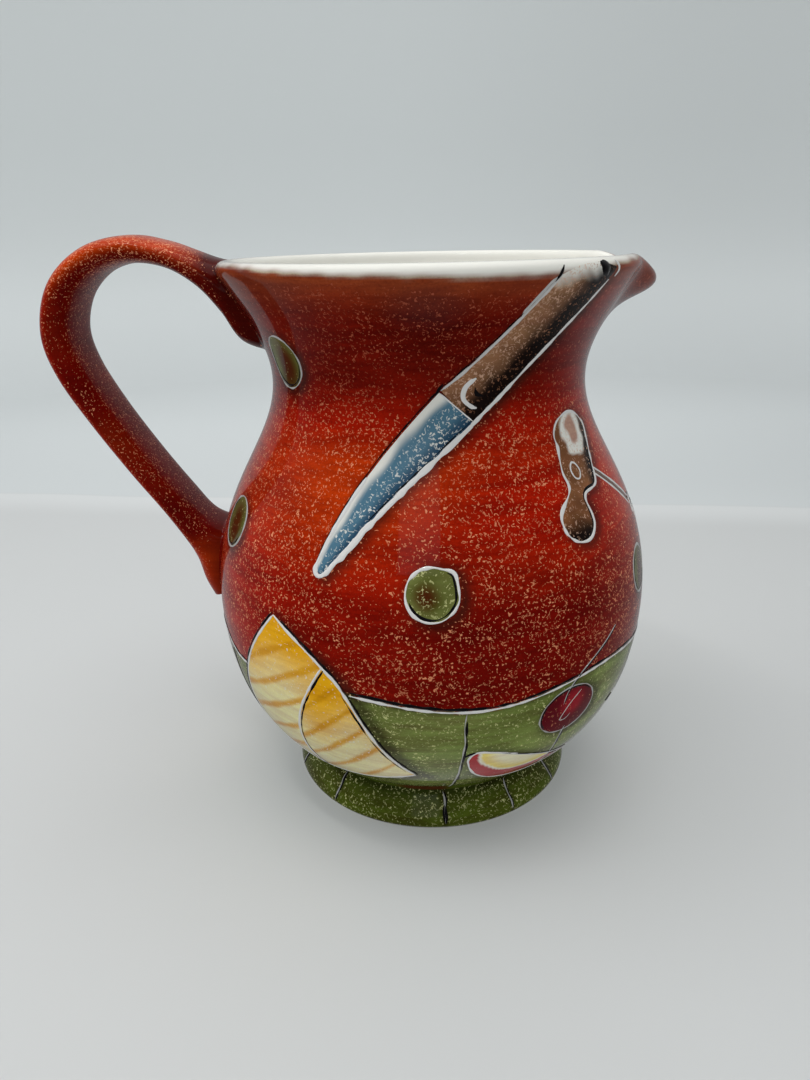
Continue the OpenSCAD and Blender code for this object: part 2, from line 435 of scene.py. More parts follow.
# ---------------------------------------------------------------- handle
# Stations of the strap: x, z, direction of its outer face in degrees, thickness, width
HANDLE_STATIONS = [
    (-56.0, 174.5, 98, 28, 29),
    (-64.0, 177.0, 98, 26, 29),
    (-69.0, 181.9, 100, 18.6, 29),
    (-76.2, 187.7, 102, 12, 29),
    (-85.5, 192.2, 99, 8.8, 29),
    (-97.0, 193.9, 92, 8.8, 29),
    (-109.2, 190.6, 120, 10, 29),
    (-118.8, 181.6, 150, 11.2, 29),
    (-122.8, 168.5, 180, 11.2, 29),
    (-120.2, 155.8, 195, 11, 28),
    (-112.1, 140.1, 210, 10.4, 27),
    (-101.2, 122.7, 213, 10, 27),
    (-91.3, 108.4, 213, 10, 27),
    (-84.4, 98.6, 212, 11.5, 27.5),
    (-77.4, 92.2, 210, 19.5, 28),
    (-72.4, 84.5, 207, 26, 28),
    (-70.3, 77.0, 206, 25, 23)]
STRAP_SQUARENESS = 2.6
STRAP_SIDES = 64
strap_rings = catmull_rom(HANDLE_STATIONS, per_span=10)


def strap_grid():
    """Points of the strap: ring, side of the section, xyz."""
    turn = 2 * np.pi * np.arange(STRAP_SIDES) / STRAP_SIDES
    across = np.sign(np.cos(turn)) * np.abs(np.cos(turn)) ** (2 / STRAP_SQUARENESS) / 2
    side = np.sign(np.sin(turn)) * np.abs(np.sin(turn)) ** (2 / STRAP_SQUARENESS) / 2
    x, z, way, thick, width = (strap_rings[:, k, None] for k in range(5))
    way = np.radians(way)
    return np.stack([x + across * thick * np.cos(way), side * width + 0 * x,
                     z + across * thick * np.sin(way)], -1)


def wall_gap(points):
    """Distance of points from the outside of the body, along the radius."""
    z = np.minimum(points[..., 2], RIM_H - LIP_H)
    return np.hypot(points[..., 0], points[..., 1]) - wall.radius(z)


def cut_away(obj, cutter):
    modifier = obj.modifiers.new("cut", "BOOLEAN")
    modifier.operation = "DIFFERENCE"
    modifier.solver = "EXACT"
    modifier.object = cutter
    depsgraph = bpy.context.evaluated_depsgraph_get()
    shaped = bpy.data.meshes.new_from_object(obj.evaluated_get(depsgraph))
    obj.modifiers.clear()
    obj.data = shaped
    bpy.data.objects.remove(cutter)


def make_handle(material):
    grid = strap_grid()
    rings, sides, _ = grid.shape
    faces = [(i * sides + k, i * sides + (k + 1) % sides,
              (i + 1) * sides + (k + 1) % sides, (i + 1) * sides + k)
             for i in range(rings - 1) for k in range(sides)]
    faces.append(tuple(range(sides))[::-1])
    faces.append(tuple((rings - 1) * sides + k for k in range(sides)))
    obj = new_mesh("handle_glazed", grid.reshape(-1, 3), faces, material)
    # What lies deeper than the wall's middle is cut off
    depth = 1.5
    cut = Shell()
    around = np.arange(0, 360, 2.0)
    outline = resample(wall.outline[wall.outline[:, 1] < RIM_H - LIP_H], 80)
    rows = [cut.row(around, outline[0][0] - depth, outline[0][1] - depth)]
    rows += [cut.row(around, r - depth, z) for r, z in outline]
    rows += [cut.row(around, outline[-1][0] - depth, RIM_H + 20)]
    for a, b in zip(rows[:-1], rows[1:]):
        cut.join(a, b, True)
    cut.fan(rows[0], FOOT_H - depth, flip=True)
    cut.fan(rows[-1], RIM_H + 20)
    cutter = cut.build("handle_cutter", material)
    cut_away(obj, cutter)
    obj.data.shade_smooth()
    obj.data.set_sharp_from_angle(angle=math.radians(40))
    return obj


def make_root_fillet(name, rings, material, size):
    """A concave strip of glaze round the place where the strap meets the body."""
    grid = strap_grid()
    near = grid[rings]
    gap = wall_gap(near)
    spacing = np.linalg.norm(np.diff(near, axis=0), axis=2)
    normals = np.cross(np.roll(grid, -1, 1) - np.roll(grid, 1, 1), np.gradient(grid, axis=0))
    normals /= np.linalg.norm(normals, axis=2, keepdims=True) + 1e-9
    near_normals = normals[rings]
    loop = []
    for k in range(STRAP_SIDES):
        crossing = np.nonzero(np.diff(np.sign(gap[:, k])) > 0)[0]
        if not len(crossing):
            continue
        i = crossing[-1]
        t = -gap[i, k] / (gap[i + 1, k] - gap[i, k])
        meet = near[i, k] + t * (near[i + 1, k] - near[i, k])
        outward = near_normals[i, k]
        middle = near[i].mean(0)
        if np.dot(outward, meet - middle) < 0:
            outward = -outward
        ahead = near[i + 1, k] - near[i, k]
        ahead /= np.linalg.norm(ahead)
        on_strap = meet + ahead * size + outward * 0.04
        on_body = meet + outward * size
        z = min(on_body[2], RIM_H - LIP_H)
        a = math.degrees(math.atan2(on_body[0], -on_body[1]))
        on_body = wall.on(np.array([[a, z]]), 0.04)[0]
        inner = meet - outward * 0.8 - ahead * 0.8
        bow = [(1 - s) ** 2 * on_strap + 2 * s * (1 - s) * meet + s * s * on_body
               for s in np.linspace(0, 1, 7)]
        loop.append(bow + [inner])
    loop = np.array(loop)
    n, m, _ = loop.shape
    faces = [(a * m + b, a * m + (b + 1) % m, (a + 1) % n * m + (b + 1) % m, (a + 1) % n * m + b)
             for a in range(n) for b in range(m)]
    return new_mesh(name, loop.reshape(-1, 3), faces, material)


# ---------------------------------------------------------------- painted shapes and lines
class Painting:
    """Thin raised glaze gathered into one mesh."""

    def __init__(self):
        self.points, self.faces, self.colour, self.tint, self.fleck = [], [], [], [], []
        self.count = 0

    def add(self, points, faces, colour, tint=WHITE, fleck=0.0):
        self.points.append(points)
        self.faces += [tuple(i + self.count for i in face) for face in faces]
        n = len(points)
        self.colour.append(np.broadcast_to(colour, (n, 3)))
        self.tint.append(np.broadcast_to(tint, (n, 3)))
        self.fleck.append(np.broadcast_to(fleck, n))
        self.count += n

    def build(self, name, material, slot):
        obj = new_mesh(name, np.concatenate(self.points), self.faces, material, sharp=60)
        set_paint(obj, np.concatenate(self.colour), np.concatenate(self.tint),
                  np.concatenate(self.fleck))
        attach(obj, "root")
        return obj


def inside(points, outline):
    """Which flat points lie inside a closed outline."""
    a, b = outline, np.roll(outline, -1, 0)
    x, y = points[:, :1], points[:, 1:]
    crosses = (a[:, 1] > y) != (b[:, 1] > y)
    rise = np.where(b[:, 1] == a[:, 1], 1, b[:, 1] - a[:, 1])
    at = a[:, 0] + (y - a[:, 1]) * (b[:, 0] - a[:, 0]) / rise
    return (crosses & (x < at)).sum(1) % 2 == 1


def distance_to(points, path):
    return np.min(np.linalg.norm(points[:, None] - path[None], axis=2), axis=1)


PATCH_STEP = 0.8
PATCH_LIFT = 0.1
PATCH_SUNK = 0.3
outlines_done = []       # outlines of every shape in space, for the shadows around them


def doubled(values, count):
    """One value for all points stays; one for each is given again for those under them."""
    return np.concatenate([values] * 2) if np.shape(values)[:1] == (count,) else values


def add_patch(painting, path, paint, centre, smooth=True):
    """A closed thin patch of glaze. paint gives colour, tint and fleck of flat points."""
    flat = wall.lay_flat(path, centre)
    flat = catmull_rom(flat, closed=True) if smooth else np.concatenate([flat, flat[:1]])
    edge = spaced(flat, PATCH_STEP)[:-1]
    low, high = edge.min(0), edge.max(0)
    xs = np.arange(low[0], high[0], PATCH_STEP)
    ys = np.arange(low[1], high[1], PATCH_STEP * 0.87)
    grid = np.array([(x + (j % 2) * PATCH_STEP / 2, y) for j, y in enumerate(ys) for x in xs])
    grid = grid[inside(grid, edge)]
    grid = grid[distance_to(grid, edge) > 0.6 * PATCH_STEP]
    every = np.concatenate([edge, grid])
    found = delaunay_2d_cdt([Vector(p) for p in every], [], [list(range(len(edge)))], 1, 1e-5)
    flat = np.array([tuple(p) for p in found[0]])
    top = [tuple(face) for face in found[2]]
    n = len(flat)
    rise = PATCH_LIFT * (0.4 + 0.6 * smooth_step(distance_to(flat, edge) / 0.9))
    path = wall.roll_up(flat, centre)
    points = np.concatenate([wall.on(path, rise), wall.on(path, -PATCH_SUNK)])
    faces = top + [tuple(i + n for i in face[::-1]) for face in top]
    sides = dict.fromkeys(pair for a, b, c in top for pair in ((a, b), (b, c), (c, a)))
    faces += [(b, a, a + n, b + n) for a, b in sides if (b, a) not in sides]
    painting.add(points, faces, *(doubled(values, n) for values in paint(flat)))
    edge_path = wall.roll_up(edge, centre)
    outlines_done.append(wall.on(edge_path, 0))
    return edge_path


def add_line(painting, skin, path, width, colour, seed, closed=False, smooth=True, rise=0.17,
             wobble=0.35, shift=0.0, part=(0, 1)):
    """A raised stroke along a path, uneven in width, shifted sideways in millimetres."""
    rng = np.random.default_rng(seed)
    centre = tuple(path[len(path) // 2])
    flat = skin.lay_flat(path, centre)
    if closed and np.allclose(flat[0], flat[-1]):
        flat = flat[:-1]
    if smooth:
        flat = catmull_rom(flat, closed=closed)
    elif closed:
        flat = np.concatenate([flat, flat[:1]])
    flat = spaced(flat, 0.7)
    if closed:
        flat = flat[:-1]
    elif part != (0, 1):
        start, stop = (int(round(p * (len(flat) - 1))) for p in part)
        flat = flat[start:stop + 1]
    count = len(flat)
    if closed:
        ahead = np.roll(flat, -1, 0) - np.roll(flat, 1, 0)
    else:
        ahead = np.gradient(flat, axis=0)
    ahead /= np.linalg.norm(ahead, axis=1, keepdims=True) + 1e-9
    side = np.stack([-ahead[:, 1], ahead[:, 0]], 1)
    knots = max(3, int(count / 3))
    at = np.linspace(0, 1, count)
    places = np.linspace(0, 1, knots)
    uneven = rng.uniform(-1, 1, (2, knots))
    uneven[:, -1] = uneven[:, 0]
    full = width * (1 + wobble * np.interp(at, places, uneven[0]))
    flat = flat + side * (shift + 0.12 * wobble * np.interp(at, places, uneven[1]))[:, None]
    if not closed:
        ends = np.minimum(at, 1 - at) * count * 0.7
        full = full * (0.25 + 0.75 * smooth_step(ends / 2.0))
    rings = []
    for across, lift in ((-0.5, -0.12), (-0.36, 0.75 * rise), (0, rise), (0.36, 0.75 * rise),
                         (0.5, -0.12), (0, -0.3)):
        moved = skin.roll_up(flat + side * (full * across)[:, None], centre)
        rings.append(skin.on(moved, lift))
    rings = np.stack(rings, 1)
    m = rings.shape[1]
    faces = [(i * m + k, i * m + (k + 1) % m, (i + 1) % count * m + (k + 1) % m,
              (i + 1) % count * m + k)
             for i in range(count if closed else count - 1) for k in range(m)]
    if not closed:
        faces.append(tuple(range(m))[::-1])
        faces.append(tuple((count - 1) * m + k for k in range(m)))
    painting.add(rings.reshape(-1, 3), faces, colour)


def moved(path, source, target, turn=0.0, size=1.0, mirror=False):
    """A wall path turned, scaled and moved from one place to another."""
    flat = wall.lay_flat(path, source) * size
    if mirror:
        flat = flat * (-1, 1)
    c, s = math.cos(math.radians(turn)), math.sin(math.radians(turn))
    return wall.roll_up(flat @ np.array([[c, s], [-s, c]]), target)


def curve(a, b, c, d, count=7):
    """A few points of a cubic curve, with both ends."""
    return np.concatenate([bezier(a, b, c, d, count), [d]])


def arc(centre, radii, start, stop, count=8):
    """Points of an ellipse from one angle to another, in degrees from its right."""
    t = np.radians(np.linspace(start, stop, count))[:, None]
    return np.array(centre) + np.array(radii) * np.concatenate([np.cos(t), np.sin(t)], 1)


def on_wall(centre, *stretches):
    """Stretches drawn flat, in millimetres round a centre, as one path on the wall."""
    return wall.roll_up(np.concatenate(stretches), centre)


# Knife: a blade that widens from its tip to the grip, and a grip that widens to its end
KNIFE_AT = (2, 150)
BLADE_TIP, BLADE_ROOT, BLADE_HALF, BLADE_BOW = (-39, -50), (4.5, 0), 6.7, 2
blade_part = np.linspace(0, 1, 9)[:, None]
blade_way = np.subtract(BLADE_ROOT, BLADE_TIP) / math.dist(BLADE_ROOT, BLADE_TIP)
blade_left = np.array([-blade_way[1], blade_way[0]])
blade_middle = BLADE_TIP + blade_part * np.subtract(BLADE_ROOT, BLADE_TIP) \
    + BLADE_BOW * np.sin(np.pi * blade_part) * blade_left
blade_half = (BLADE_HALF * (0.04 + 0.96 * blade_part) ** 0.5) * blade_left
BLADE_EDGE = on_wall(KNIFE_AT, blade_middle - blade_half)
BLADE_SPINE = on_wall(KNIFE_AT, (blade_middle + blade_half)[::-1])
GRIP_UPPER = on_wall(KNIFE_AT, curve((0, 5), (10, 12), (24, 28), (33, 40)))
GRIP_END = on_wall(KNIFE_AT, [(39, 42), (47, 43)])
GRIP_LOWER = on_wall(KNIFE_AT, curve((56, 41), (42, 24), (26, 10), (9, -5)))
# Corkscrew: a grip with a large and a small lobe
CORKSCREW_AT = (48, 126)
CORKSCREW_GRIP = on_wall(CORKSCREW_AT, arc((2, 12), (9.5, 8), 10, 195),
                         [(-9, 3), (-9, -3)], arc((-10, -13), (7, 6.5), 140, 370),
                         [(-3, -6), (5, -4), (8, 3)])
# Two slices of cheese that share their middle side
CHEESE_AT = (-32, 58)
SLICE_TOP, SLICE_NOTCH = (-12, 30), (7, 17)
SLICE_LEFT, SLICE_FOOT, SLICE_RIGHT = (-32, -19), (-6, -35), (30, -26)
CHEESE_LEFT = on_wall(CHEESE_AT, curve(SLICE_TOP, (-21, 20), (-40, -2), SLICE_LEFT))
CHEESE_RIDGE = on_wall(CHEESE_AT, curve(SLICE_TOP, (-6, 26), (2, 22), SLICE_NOTCH, 3))
CHEESE_RIGHT = on_wall(CHEESE_AT, curve(SLICE_NOTCH, (17, 10), (18, -6), SLICE_RIGHT))
CHEESE_MIDDLE = on_wall(CHEESE_AT, curve(SLICE_FOOT, (-12, -14), (-4, 0), SLICE_NOTCH))
CHEESE_LOW_LEFT = on_wall(CHEESE_AT, curve(SLICE_LEFT, (-25, -28), (-15, -34), SLICE_FOOT, 4))
CHEESE_LOW_RIGHT = on_wall(CHEESE_AT, curve(SLICE_FOOT, (6, -35), (20, -31), SLICE_RIGHT, 4))
# Fruit
CHERRY_AT = (33, 56)
CHERRY_ROUND = on_wall(CHERRY_AT, arc((0.5, -1), (11.3, 9.3), 0, 330, 12))
CHERRY_STEM = on_wall(CHERRY_AT, curve((-2, 2), (-2, 12), (12, 16), (20, 23)))
SLICE_AT = (22, 36)
SLICE_ROUND = on_wall(SLICE_AT, curve((-16, 10), (-6, 10), (10, -2), (27, -8), 6),
                      curve((24, -10), (10, -16), (-14, -14), (-18, 6), 6))
OLIVE_AT = (-1.4, 100.5)
OLIVE_RADII = (7.8, 8)
OLIVE_ROUND = on_wall(OLIVE_AT, arc((0, 0), OLIVE_RADII, 70, 355, 12), [(6.5, 6)])
OLIVE_OVAL = on_wall(OLIVE_AT, arc((0, 0), OLIVE_RADII, 0, 330, 12))


def paint_knife_blade(spine, edge):
    def paint(flat):
        from_spine = distance_to(flat, spine)
        from_edge = distance_to(flat, edge)
        at = from_spine / (from_spine + from_edge + 1e-6)
        colour = mix(WHITE, BLADE, between(0.06, 0.3, at + 0.06 * drift3(flat, 9, 5)))
        colour = mix(colour, BLADE_DARK, between(0.55, 0.9, at) * 0.9)
        return colour, WHITE, 1.15 * between(0.2, 0.4, at)
    return paint


def paint_grip(upper, lower, end):
    def paint(flat):
        from_upper = distance_to(flat, upper)
        from_lower = distance_to(flat, lower)
        at = from_upper / (from_upper + from_lower + 1e-6)
        colour = mix(TAN * 1.1, TAN * 0.72, between(0.1, 0.5, at + 0.14 * drift3(flat, 5, 6)))
        colour = mix(colour, GRIP_DARK, between(0.4, 0.72, at + 0.07 * drift3(flat, 7, 7)))
        faded = distance_to(flat, end) + 0.8 * drift3(flat, 3, 8)
        colour = mix(colour, WHITE, between(5.5, 0.5, faded) * 0.95)
        return colour, mix(PALE_TAN, TAN, between(0.4, 0.7, at)), 1.9 - 1.4 * at
    return paint


def drift3(flat, size, seed):
    return drift(np.concatenate([flat, np.zeros((len(flat), 1))], 1), size, seed)


def paint_horn(top):
    def paint(flat):
        low, high = flat[:, 1].min(), flat[:, 1].max()
        right = flat[:, 0] - 0.3 * (flat[:, 1] - flat[:, 1].mean())
        colour = mix(HORN, HORN * 0.62, between(0.1, 0.9, 0.5 + 0.5 * drift3(flat, 6, 8)))
        colour = mix(colour, GRIP_DARK, between(1.2, 5.5, right + 1.2 * drift3(flat, 8, 9)))
        colour = mix(colour, GRIP_DARK, between(0.24, 0.06, (flat[:, 1] - low) / (high - low)))
        near_top = np.linalg.norm((flat - top) * (1.0, 0.7), axis=1) + 0.9 * drift3(flat, 5, 3)
        colour = mix(colour, WHITE, between(6.4, 5.2, near_top))
        colour = mix(colour, KNOT, between(3.6, 2.4, near_top))
        return colour, PALE_TAN, 0.8
    return paint


def paint_olive(flat):
    spot = np.linalg.norm((flat - (-1.8, -0.6)) * (1, 0.9), axis=1)
    colour = mix(GREEN * 0.9, DARK_GREEN, 0.5 + 0.5 * drift3(flat, 9, 11))
    return mix(colour, OLIVE_BROWN, between(5.6, 0.6, spot)), PALE_GREEN, 0.9


def paint_ripe_olive(flat):
    spot = np.linalg.norm((flat - (1.0, -1.0)) * (1, 0.6), axis=1)
    colour = mix(GREEN * 0.8, DARK_GREEN, 0.6 + 0.5 * drift3(flat, 9, 12))
    return mix(colour, OLIVE_BROWN, between(7.5, 1.5, spot)), PALE_GREEN, 0.2


STRIPE_GAP = 10.5


def paint_cheese(start, slant):
    """Pale cheese that is orange at its top, with slanting brush stripes."""
    def paint(flat):
        down = start - flat[:, 1]
        colour = mix(CHEESE, CHEESE_PALE, between(8, 36, down + 5 * drift3(flat, 20, 14)))
        wave = down + slant * flat[:, 0] + 0.4 * drift3(flat, 30, 15)
        stripe = np.abs((wave / STRIPE_GAP) % 1 - 0.5) * STRIPE_GAP
        strong = between(2.0, 0.5, stripe - 0.5 * drift3(flat, 9, 16))
        colour = mix(colour, CHEESE_STRIPE, strong * 0.85 * between(2, 7, down))
        return colour, WHITE, 0.25
    return paint


def paint_cherry(flat):
    colour = mix(CHERRY, CHERRY_DARK, between(2, 7, np.linalg.norm(flat - (1.5, 1.5), axis=1)))
    return colour, PINK, 0.2


def paint_slice(flat):
    out = np.linalg.norm((flat - (4, 10)) * (0.8, 1), axis=1) + 0.4 * drift3(flat, 8, 17)
    colour = mix(APPLE_FLESH, APPLE_YELLOW, between(9, 14, out))
    colour = mix(colour, WHITE, 0.9 * between(14.2, 14.7, out))
    colour = mix(colour, APPLE_SKIN, between(15.0, 15.5, out))
    return colour, WHITE, 0.1


knife, corkscrew, olives = Painting(), Painting(), Painting()
cheese, fruit = Painting(), Painting()
white_lines, black_lines = Painting(), Painting()


def white(path, width, seed, skin=wall, grey=1.0, **look):
    add_line(white_lines, skin, path, width, LINE_WHITE * grey, seed, **look)


def black(path, width, seed, skin=wall, colour=LINE_BLACK, **look):
    add_line(black_lines, skin, path, width, colour, seed, **look)


def put(path, source, target, **change):
    return np.array(path, float) if target is None else moved(path, source, target, **change)


def add_knife(target=None, seed=100, **change):
    def at(path):
        return put(path, KNIFE_AT, target, **change)
    centre = KNIFE_AT if target is None else target
    spine, edge = at(BLADE_SPINE), at(BLADE_EDGE)
    upper, lower = at(GRIP_UPPER), at(GRIP_LOWER)

    def flat(path):
        return spaced(catmull_rom(wall.lay_flat(path, centre)), 1.0)
    blade = np.concatenate([edge, spine])
    add_patch(knife, blade, paint_knife_blade(flat(spine), flat(edge)), centre, smooth=False)
    end = at(GRIP_END)
    grip = np.concatenate([upper, end, lower])
    faded = flat(np.concatenate([upper[-1:], end]))
    add_patch(knife, grip, paint_grip(flat(upper), flat(lower), faded), centre, smooth=False)
    black(at([(41.6, 188.6), (43.6, 187.4), (45.2, 185)]), 4.6, seed + 11, rise=0.25, wobble=0.12)
    white(at([(49.4, 184.6), (49.8, 187), (48, 189)]), 1.2, seed + 13, rise=0.25)
    white(at([(22.6, 175.6), (26, 181), (28.6, 185.6)]), 2.2, seed + 14, grey=0.66, wobble=0.2)
    black(at([(28.2, 184.4), (29, 186.4), (29.8, 188.4)]), 1.0, seed + 15, rise=0.25)
    tip_round = np.concatenate([spine[4:], edge[:4]])
    white(edge, 1.7, seed, shift=-0.4, wobble=0.55)
    white(tip_round, 1.5, seed + 1, wobble=0.5)
    white(np.concatenate([[edge[-1]], lower[::-1]]), 1.2, seed + 2, shift=-0.2, wobble=0.5,
          part=(0.0, 0.93))
    white(upper, 1.1, seed + 3, grey=0.8, wobble=0.4)
    white([spine[0], edge[-1]], 0.6, seed + 4, smooth=False)
    black(spine, 0.5, seed + 5, shift=-0.6, part=(0, 0.95), wobble=0.7)
    black(upper, 0.45, seed + 6, shift=0.8, wobble=0.8)
    black(edge, 0.5, seed + 7, shift=0.75, wobble=0.7, part=(0.35, 1))
    black(lower, 0.45, seed + 8, shift=-0.6, wobble=0.8, part=(0.42, 0.8))
    tick = at([(1, 153.2), (2, 154.9), (3.2, 156.6)])
    black(tick, 0.9, seed + 9, shift=0.7)
    mark = at([(12.8, 158.2), (9.8, 156), (8.9, 152.6), (11.2, 150.2), (13.2, 149.6)])
    white(mark, 1.8, seed + 10, wobble=0.4)
    blot = at([(12.6, 155.6), (13.2, 153.6), (15.4, 153)])
    black(blot, 1.5, seed + 12)


def add_corkscrew(target=None, seed=200, **change):
    def at(path):
        return put(path, CORKSCREW_AT, target, **change)
    centre = CORKSCREW_AT if target is None else target
    top = wall.lay_flat(at([(50.2, 139)]), centre)[0]
    edge = add_patch(corkscrew, at(CORKSCREW_GRIP), paint_horn(top), centre)
    white(edge, 1.1, seed, closed=True, smooth=False, wobble=0.75)
    black(edge, 0.8, seed + 1, smooth=False, shift=0.8, wobble=0.8, part=(0.62, 0.97))
    ring = at([(47.2, 127.4), (46.1, 129.6), (44.4, 130.1), (43.2, 128.2), (43.9, 125.9),
               (45.9, 125.4)])
    white(ring, 0.8, seed + 2, closed=True)
    # The worm: a straight shaft that goes on as a wavy coil
    start, joint = at([(53.9, 126.2), (73, 110.5)])
    a, b = wall.lay_flat([start, joint], centre)
    ahead = (b - a) / np.linalg.norm(b - a)
    side = np.array([-ahead[1], ahead[0]])
    for offset in (-1.3, 1.3):
        shaft = wall.roll_up(np.array([a + side * offset * 0.7, b + side * offset]), centre)
        white(shaft, 0.9, seed + 3, smooth=False)
    s = np.linspace(0, 1, 60)[:, None]
    coil = b + ahead * s * 22 + side * 2.7 * np.sin(s * 8 * np.pi) * (1.05 - 0.6 * s)
    coil_path = wall.roll_up(coil, centre)
    white(coil_path, 1.5, seed + 5, smooth=False, wobble=0.2)
    black(coil_path, 0.5, seed + 6, smooth=False, shift=0.75)
    black([start, joint], 1.9, seed + 7, colour=WORM_GREY, smooth=False, rise=0.08)


def add_olive(target, seed, turn=0.0, size=1.0, ripe=False):
    """A green olive with a notch, or a ripe one that is a plain oval with a thin outline."""
    path = moved(OLIVE_OVAL if ripe else OLIVE_ROUND, OLIVE_AT, target, turn, size)
    edge = add_patch(olives, path, paint_ripe_olive if ripe else paint_olive, target)
    white(edge, 0.75 if ripe else 1.0, seed, grey=0.6 if ripe else 1, closed=True, smooth=False,
          wobble=0.7)
    count = len(edge)
    lower = np.roll(edge, -int(count * 0.35), 0)
    black(lower, 0.75, seed + 1, smooth=False, shift=0.85, wobble=0.7, part=(0.0, 0.62))


def add_cheese(target=None, seed=300, **change):
    def at(path):
        return put(path, CHEESE_AT, target, **change)
    centre = CHEESE_AT if target is None else target
    outer_left, ridge, right_side = at(CHEESE_LEFT), at(CHEESE_RIDGE), at(CHEESE_RIGHT)
    middle, low_left, low_right = at(CHEESE_MIDDLE), at(CHEESE_LOW_LEFT), at(CHEESE_LOW_RIGHT)
    left = np.concatenate([outer_left, low_left[1:], middle[1:], ridge[-2:0:-1]])
    right = np.concatenate([right_side, low_right[-2::-1], middle[1:-1]])
    top_left = wall.lay_flat(left, centre)[:, 1].max()
    top_right = wall.lay_flat(right, centre)[:, 1].max()
    lean = -1 if change.get("mirror") else 1
    add_patch(cheese, left, paint_cheese(top_left, 0.52 * lean), centre, smooth=False)
    add_patch(cheese, right, paint_cheese(top_right, 0.86 * lean), centre, smooth=False)
    outer_right = np.concatenate([ridge, right_side[1:]])
    bottom = np.concatenate([low_left, low_right[1:]])
    white(outer_left, 1.0, seed)
    white(outer_right, 1.1, seed + 1, wobble=0.5)
    white(bottom, 1.3, seed + 2)
    white(middle, 1.0, seed + 3, shift=0.3)
    black(middle, 0.9, seed + 4, shift=-0.6, wobble=0.6)
    black(outer_right, 0.95, seed + 5, shift=1.0, wobble=0.8, part=(0.05, 1))
    black(outer_right, 0.6, seed + 6, shift=-0.9, wobble=0.8, part=(0.45, 0.95))
    black(outer_left, 0.7, seed + 7, shift=-0.9, wobble=0.8)
    # A wide smear to the right of the slices
    smear = catmull_rom(wall.lay_flat(outer_right[2:], centre)) + (2.6 * lean, -0.5)
    outlines_done.append(wall.on(wall.roll_up(spaced(smear, 0.8), centre), 0))


def add_cherry(target=None, seed=400, **change):
    def at(path):
        return put(path, CHERRY_AT, target, **change)
    centre = CHERRY_AT if target is None else target
    edge = add_patch(fruit, at(CHERRY_ROUND), paint_cherry, centre)
    white(edge, 0.5, seed, grey=0.6, closed=True, smooth=False, wobble=0.7)
    black(edge, 0.6, seed + 1, smooth=False, shift=0.55, part=(0.1, 0.6))
    black(at(CHERRY_STEM), 0.6, seed + 2)
    white(at(CHERRY_STEM), 0.35, seed + 3, grey=0.6, shift=0.5)
    hook = at([(36.5, 61.5), (33.4, 57.5), (31.6, 53.6), (31.2, 51.6), (33, 51.4), (34.2, 53)])
    white(hook, 0.5, seed + 4, grey=0.8)


def add_slice(target=None, seed=500, **change):
    def at(path):
        return put(path, SLICE_AT, target, **change)
    centre = SLICE_AT if target is None else target
    edge = add_patch(fruit, at(SLICE_ROUND), paint_slice, centre)
    white(edge, 0.8, seed, closed=True, smooth=False, wobble=0.5)
    black(at([(16, 43.4), (25.8, 38.4), (36, 33.4), (43, 31)]), 0.45, seed + 1, wobble=0.6)
    black(at([(35, 32.4), (37, 31.8), (39, 30.8)]), 1.6, seed + 2, rise=0.22)
    black(at([(6.4, 43.6), (7.6, 44.6), (9, 45.4)]), 1.6, seed + 3, rise=0.22)


BAND_H = 65.5            # middle height of the green cloth's upper edge
BAND_WAVE = 2.3
BAND_CREST = -27         # where one of its five waves is highest


def band_top(around):
    """The cloth's upper edge: five waves, and a rise towards the handle."""
    handle_side = half_turns(around - HANDLE_AT)
    waves = BAND_WAVE * np.cos(np.radians(5 * (around - BAND_CREST)))
    return BAND_H + waves + 5 * np.exp(-((handle_side - 18) / 9) ** 2)


# Seams of the cloth: (around at the top, around at the groove), and those on the foot
CHERRY_SEAM = 33         # starts under the cherry
SEAMS = [(6.4, 4.5), (CHERRY_SEAM, 34.5), (63, 58), (92, 90), (121, 117),
         (150, 146), (180, 176), (208, 205), (238, 236), (268, 268), (-66, -62)]
BOLD_SEAM = 3.2          # drawn with a wider stroke
FOOT_SEAMS = [-44, BOLD_SEAM, 31.5, 57, 84, 112, 141, 170, 199, 228, 257, 287]


def add_band(seed=600):
    # The edge stops on both sides of the cheese on the knife's side
    around = np.arange(-20.5, 308, 1.5)
    path = np.stack([around, band_top(around)], 1)
    white(path, 0.9, seed, shift=-0.2, wobble=0.6)
    black(path, 1.0, seed + 1, shift=0.85, wobble=0.7)
    rng = np.random.default_rng(seed)
    for k, (top, low) in enumerate(SEAMS):
        z = np.linspace(band_top(top) - 0.8, 17.5, 9)
        lean = np.linspace(top, low, 9) + rng.uniform(-0.35, 0.35, 9)
        seam = np.stack([lean, z], 1)
        if top == CHERRY_SEAM:
            seam = seam[3:]
        white(seam, 0.55, seed + 10 + k, grey=0.62, wobble=0.6)
        black(seam, 0.75, seed + 40 + k, shift=0.55, wobble=0.9, part=(0.05, 0.8))
    for k, at in enumerate(FOOT_SEAMS):
        seam = np.stack([at + rng.uniform(-0.5, 0.5, 5), np.linspace(11.6, 2.6, 5)], 1)
        white(seam, 0.5, seed + 70 + k, skin=foot, grey=0.6, wobble=0.6)
        black(seam, 0.8, seed + 90 + k, skin=foot, shift=0.5, wobble=0.9)
        if at == BOLD_SEAM:
            black(seam, 1.6, seed + 89, skin=foot, part=(0.4, 1))


# The side that the knife is on
add_knife()
add_corkscrew()
add_olive(OLIVE_AT, 700)
add_olive((-55, 161), 702, turn=28, size=1.06, ripe=True)
add_olive((-66.5, 108.5), 704, turn=-10, size=1.08, ripe=True)
add_olive((65.5, 90), 706, ripe=True)
add_cheese()
add_cherry()
add_slice()
